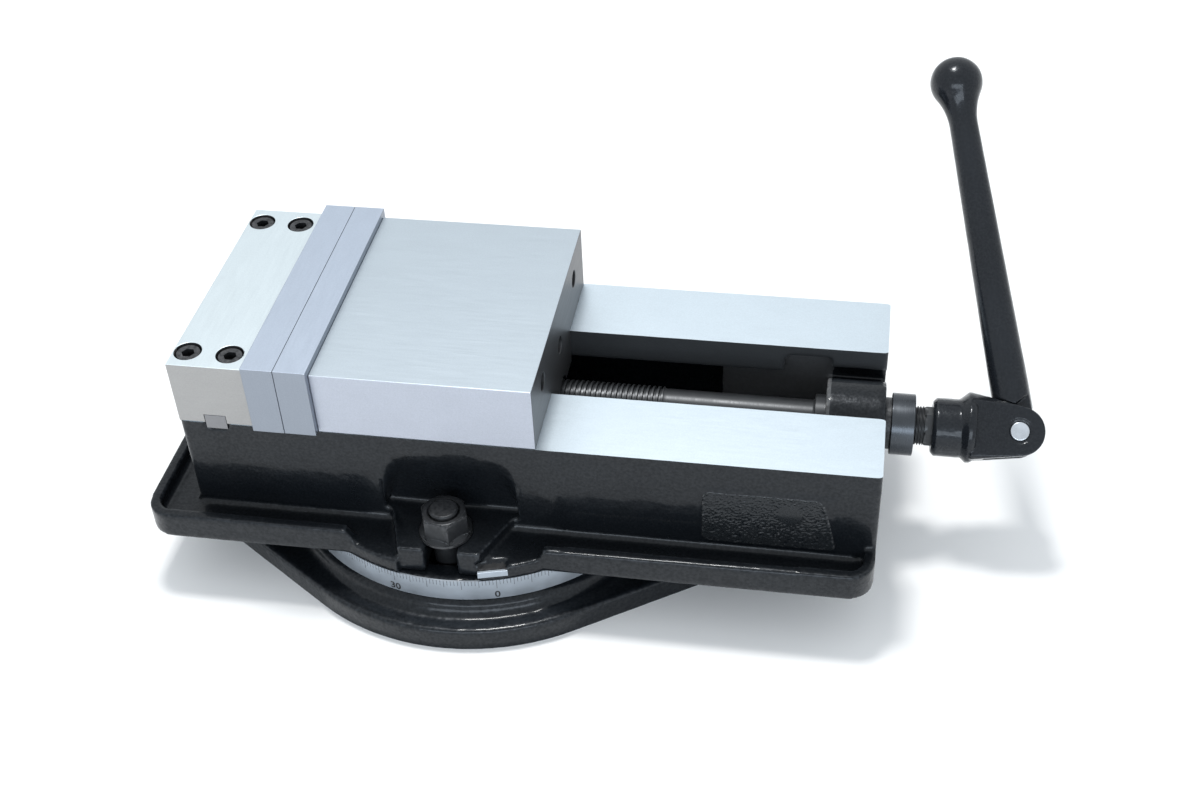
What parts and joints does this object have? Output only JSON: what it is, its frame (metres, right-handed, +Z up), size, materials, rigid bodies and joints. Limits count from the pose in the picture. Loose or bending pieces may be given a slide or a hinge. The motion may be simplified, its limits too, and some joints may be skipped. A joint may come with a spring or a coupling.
{
  "type": "machine vise",
  "caption": "Milling vise with ground jaws and rails, a pull-down movable jaw driven by a lead screw and folding crank, on a graduated swivel base.",
  "frame": {"origin": "swivel axis at the underside of the swivel base, where the base rests on the machine table", "axes": "+X along the bed from the stationary jaw to the crank, +Z up, +Y to the left when facing +X"},
  "size_m": [0.5133, 0.2839, 0.2333],
  "materials": {
    "black_paint": "glossy enamel over rough casting",
    "body_paint": "glossy enamel over rough casting, ground way tops left bright",
    "ground_steel": "surface ground",
    "plate_steel": "hardened and ground",
    "bright_steel": "turned",
    "hardened_steel": "hardened, satin",
    "screw_steel": "blackened, satin",
    "black_oxide": "black oxide",
    "cage_brass": "satin"
  },
  "bodies": {
    "base": {"swivel_base": "black_paint", "swivel_pivot": "bright_steel"},
    "bed": {"vise_body": "body_paint", "index_plate": "bright_steel", "near_t_bolt": "black_oxide", "far_t_bolt": "black_oxide", "stationary_jaw": "ground_steel", "stationary_jaw_key": "bright_steel", "stationary_jaw_screws": "black_oxide", "fixed_jaw_plate": "plate_steel", "fixed_jaw_plate_screws": "black_oxide", "thrust_washer_outer": "bright_steel"},
    "near_nut": {"near_clamp_nut": "black_oxide"},
    "far_nut": {"far_clamp_nut": "black_oxide"},
    "jaw": {"movable_jaw": "ground_steel", "movable_jaw_plate": "plate_steel", "movable_jaw_plate_screws": "black_oxide", "jaw_nut": "hardened_steel", "ball_segment": "hardened_steel", "jaw_set_screw": "black_oxide"},
    "screw": {"lead_screw": "screw_steel", "thrust_washer_inner": "bright_steel", "thrust_cage": "cage_brass", "thrust_balls": "bright_steel", "end_washer": "black_oxide", "screw_collar": "black_oxide", "collar_set_screw": "black_oxide"},
    "hub": {"crank_hub": "black_paint", "crank_pivot_pin": "bright_steel"},
    "handle": {"crank_handle": "black_paint"}
  },
  "joints": [
    {"name": "swivel", "type": "hinge", "parent": "base", "child": "bed", "pos_m": [0, 0, 0.036], "axis": [0, 0, 1], "continuous": true},
    {"name": "screw_turn", "type": "hinge", "parent": "bed", "child": "screw", "pos_m": [0.15, 0, 0.079], "axis": [1, 0, 0], "range_deg": [0, 16200]},
    {"name": "jaw_slide", "type": "slide", "parent": "bed", "child": "jaw", "axis": [1, 0, 0], "range_m": [0, 0.135]},
    {"name": "near_nut_turn", "type": "hinge", "parent": "bed", "child": "near_nut", "pos_m": [0, -0.09, 0.06], "axis": [0, 0, 1], "range_deg": [0, 180]},
    {"name": "far_nut_turn", "type": "hinge", "parent": "bed", "child": "far_nut", "pos_m": [0, 0.09, 0.06], "axis": [0, 0, 1], "range_deg": [0, 180]},
    {"name": "crank_pull", "type": "slide", "parent": "screw", "child": "hub", "axis": [1, 0, 0], "range_m": [0, 0.025]},
    {"name": "handle_fold", "type": "hinge", "parent": "hub", "child": "handle", "pos_m": [0.3086, 0, 0.079], "axis": [0, 0.7071, -0.7071], "range_deg": [0, 206]}
  ],
  "couplings": [
    {"joint": "jaw_slide", "follows": "screw_turn", "m_per_rad": 0.00047746}
  ]
}
